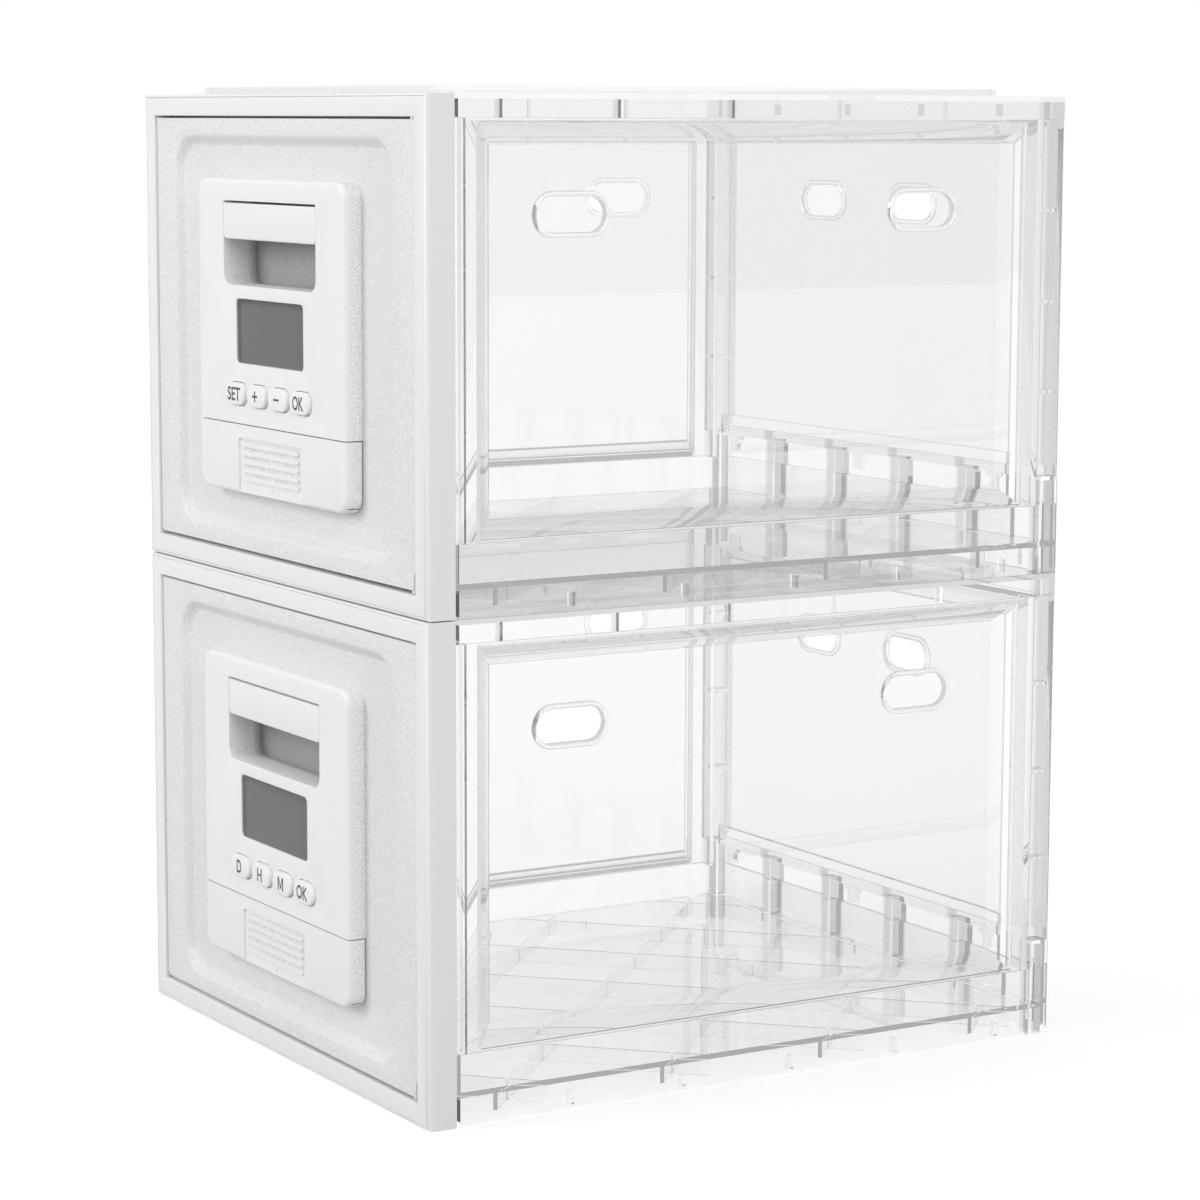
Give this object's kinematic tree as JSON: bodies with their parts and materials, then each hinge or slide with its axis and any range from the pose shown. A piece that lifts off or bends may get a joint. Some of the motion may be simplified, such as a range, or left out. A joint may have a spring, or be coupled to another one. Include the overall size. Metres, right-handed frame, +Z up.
{
  "type": "timed lock container",
  "caption": "Stack of clear plastic storage boxes, each with a white front frame, a hinged door with a timer lock, finger paddle, display and buttons, and hand slots in the sides.",
  "frame": {"origin": "middle of the stack's footprint, on the surface it stands on", "axes": "+Z up, doors face -Y, +X to the right seen from the front, hinges at +X"},
  "size_m": [0.284, 0.338, 0.4433],
  "materials": {
    "frame_white": "satin moulded plastic",
    "door_white": "fine spark texture",
    "module_white": "smooth face, fine texture on the sides",
    "button_white": "satin",
    "clear_plastic": "clear, polished",
    "window_clear": "clear pane",
    "display_grey": "blank liquid crystal display",
    "rubber_grey": "moulded rubber",
    "board_green": "solder mask",
    "cell_wrap": "plain wrap",
    "guide_grey": "low friction plastic",
    "motor_steel": "drawn steel can",
    "steel": "zinc plated"
  },
  "bodies": {
    "lower_case": {"lower_front_frame": "frame_white", "lower_base_tray": "clear_plastic", "lower_top_cover": "clear_plastic", "lower_side_panel_left": "clear_plastic", "lower_side_panel_right": "clear_plastic", "lower_back_panel": "clear_plastic", "lower_hinge_pins": "steel", "lower_strike_plate": "steel"},
    "lower_door": {"lower_door_panel": "door_white", "lower_control_housing": "module_white", "lower_paddle_pin": "steel", "lower_paddle_spring": "steel", "lower_display_window": "window_clear", "lower_display_panel": "display_grey", "lower_button_mat": "rubber_grey", "lower_circuit_board": "board_green", "lower_battery_cells": "cell_wrap", "lower_battery_contacts": "steel", "lower_rear_cover": "module_white", "lower_bolt_guide": "guide_grey", "lower_lock_motor": "motor_steel", "lower_cover_screws": "steel"},
    "lower_paddle": {"lower_latch_paddle": "module_white"},
    "lower_bolt": {"lower_lock_bolt": "steel"},
    "lower_battery_lid": {"lower_battery_cover": "module_white"},
    "lower_key_day": {"lower_button_day": "button_white"},
    "lower_key_hour": {"lower_button_hour": "button_white"},
    "lower_key_minute": {"lower_button_minute": "button_white"},
    "lower_key_ok": {"lower_button_ok": "button_white"},
    "upper_case": {"upper_front_frame": "frame_white", "upper_base_tray": "clear_plastic", "upper_top_cover": "clear_plastic", "upper_side_panel_left": "clear_plastic", "upper_side_panel_right": "clear_plastic", "upper_back_panel": "clear_plastic", "upper_hinge_pins": "steel", "upper_strike_plate": "steel"},
    "upper_door": {"upper_door_panel": "door_white", "upper_control_housing": "module_white", "upper_paddle_pin": "steel", "upper_paddle_spring": "steel", "upper_display_window": "window_clear", "upper_display_panel": "display_grey", "upper_button_mat": "rubber_grey", "upper_circuit_board": "board_green", "upper_battery_cells": "cell_wrap", "upper_battery_contacts": "steel", "upper_rear_cover": "module_white", "upper_bolt_guide": "guide_grey", "upper_lock_motor": "motor_steel", "upper_cover_screws": "steel"},
    "upper_paddle": {"upper_latch_paddle": "module_white"},
    "upper_bolt": {"upper_lock_bolt": "steel"},
    "upper_battery_lid": {"upper_battery_cover": "module_white"},
    "upper_key_set": {"upper_button_set": "button_white"},
    "upper_key_plus": {"upper_button_plus": "button_white"},
    "upper_key_minus": {"upper_button_minus": "button_white"},
    "upper_key_ok": {"upper_button_ok": "button_white"}
  },
  "joints": [
    {"name": "lower_door_hinge", "type": "hinge", "parent": "lower_case", "child": "lower_door", "pos_m": [0.124, -0.15905, 0.11035], "axis": [0, 0, 1], "range_deg": [0, 110]},
    {"name": "lower_paddle_hinge", "type": "hinge", "parent": "lower_door", "child": "lower_paddle", "pos_m": [0, -0.16335, 0.16585], "axis": [-1, 0, 0], "range_deg": [0, 15], "stiffness_Nm_per_rad": 0.05},
    {"name": "lower_bolt_slide", "type": "slide", "parent": "lower_door", "child": "lower_bolt", "axis": [-1, 0, 0], "range_m": [0, 0.006]},
    {"name": "lower_battery_lid_slide", "type": "slide", "parent": "lower_door", "child": "lower_battery_lid", "axis": [0, 0, -1], "range_m": [0, 0.012]},
    {"name": "lower_key_day_press", "type": "slide", "parent": "lower_door", "child": "lower_key_day", "axis": [0, 1, 0], "range_m": [0, 0.0012], "stiffness_N_per_m": 500},
    {"name": "lower_key_hour_press", "type": "slide", "parent": "lower_door", "child": "lower_key_hour", "axis": [0, 1, 0], "range_m": [0, 0.0012], "stiffness_N_per_m": 500},
    {"name": "lower_key_minute_press", "type": "slide", "parent": "lower_door", "child": "lower_key_minute", "axis": [0, 1, 0], "range_m": [0, 0.0012], "stiffness_N_per_m": 500},
    {"name": "lower_key_ok_press", "type": "slide", "parent": "lower_door", "child": "lower_key_ok", "axis": [0, 1, 0], "range_m": [0, 0.0012], "stiffness_N_per_m": 500},
    {"name": "upper_lift", "type": "slide", "parent": "lower_case", "child": "upper_case", "axis": [0, 0, 1], "range_m": [0, 0.06]},
    {"name": "upper_door_hinge", "type": "hinge", "parent": "upper_case", "child": "upper_door", "pos_m": [0.124, -0.15905, 0.33035], "axis": [0, 0, 1], "range_deg": [0, 110]},
    {"name": "upper_paddle_hinge", "type": "hinge", "parent": "upper_door", "child": "upper_paddle", "pos_m": [0, -0.16335, 0.38585], "axis": [-1, 0, 0], "range_deg": [0, 15], "stiffness_Nm_per_rad": 0.05},
    {"name": "upper_bolt_slide", "type": "slide", "parent": "upper_door", "child": "upper_bolt", "axis": [-1, 0, 0], "range_m": [0, 0.006]},
    {"name": "upper_battery_lid_slide", "type": "slide", "parent": "upper_door", "child": "upper_battery_lid", "axis": [0, 0, -1], "range_m": [0, 0.012]},
    {"name": "upper_key_set_press", "type": "slide", "parent": "upper_door", "child": "upper_key_set", "axis": [0, 1, 0], "range_m": [0, 0.0012], "stiffness_N_per_m": 500},
    {"name": "upper_key_plus_press", "type": "slide", "parent": "upper_door", "child": "upper_key_plus", "axis": [0, 1, 0], "range_m": [0, 0.0012], "stiffness_N_per_m": 500},
    {"name": "upper_key_minus_press", "type": "slide", "parent": "upper_door", "child": "upper_key_minus", "axis": [0, 1, 0], "range_m": [0, 0.0012], "stiffness_N_per_m": 500},
    {"name": "upper_key_ok_press", "type": "slide", "parent": "upper_door", "child": "upper_key_ok", "axis": [0, 1, 0], "range_m": [0, 0.0012], "stiffness_N_per_m": 500}
  ]
}
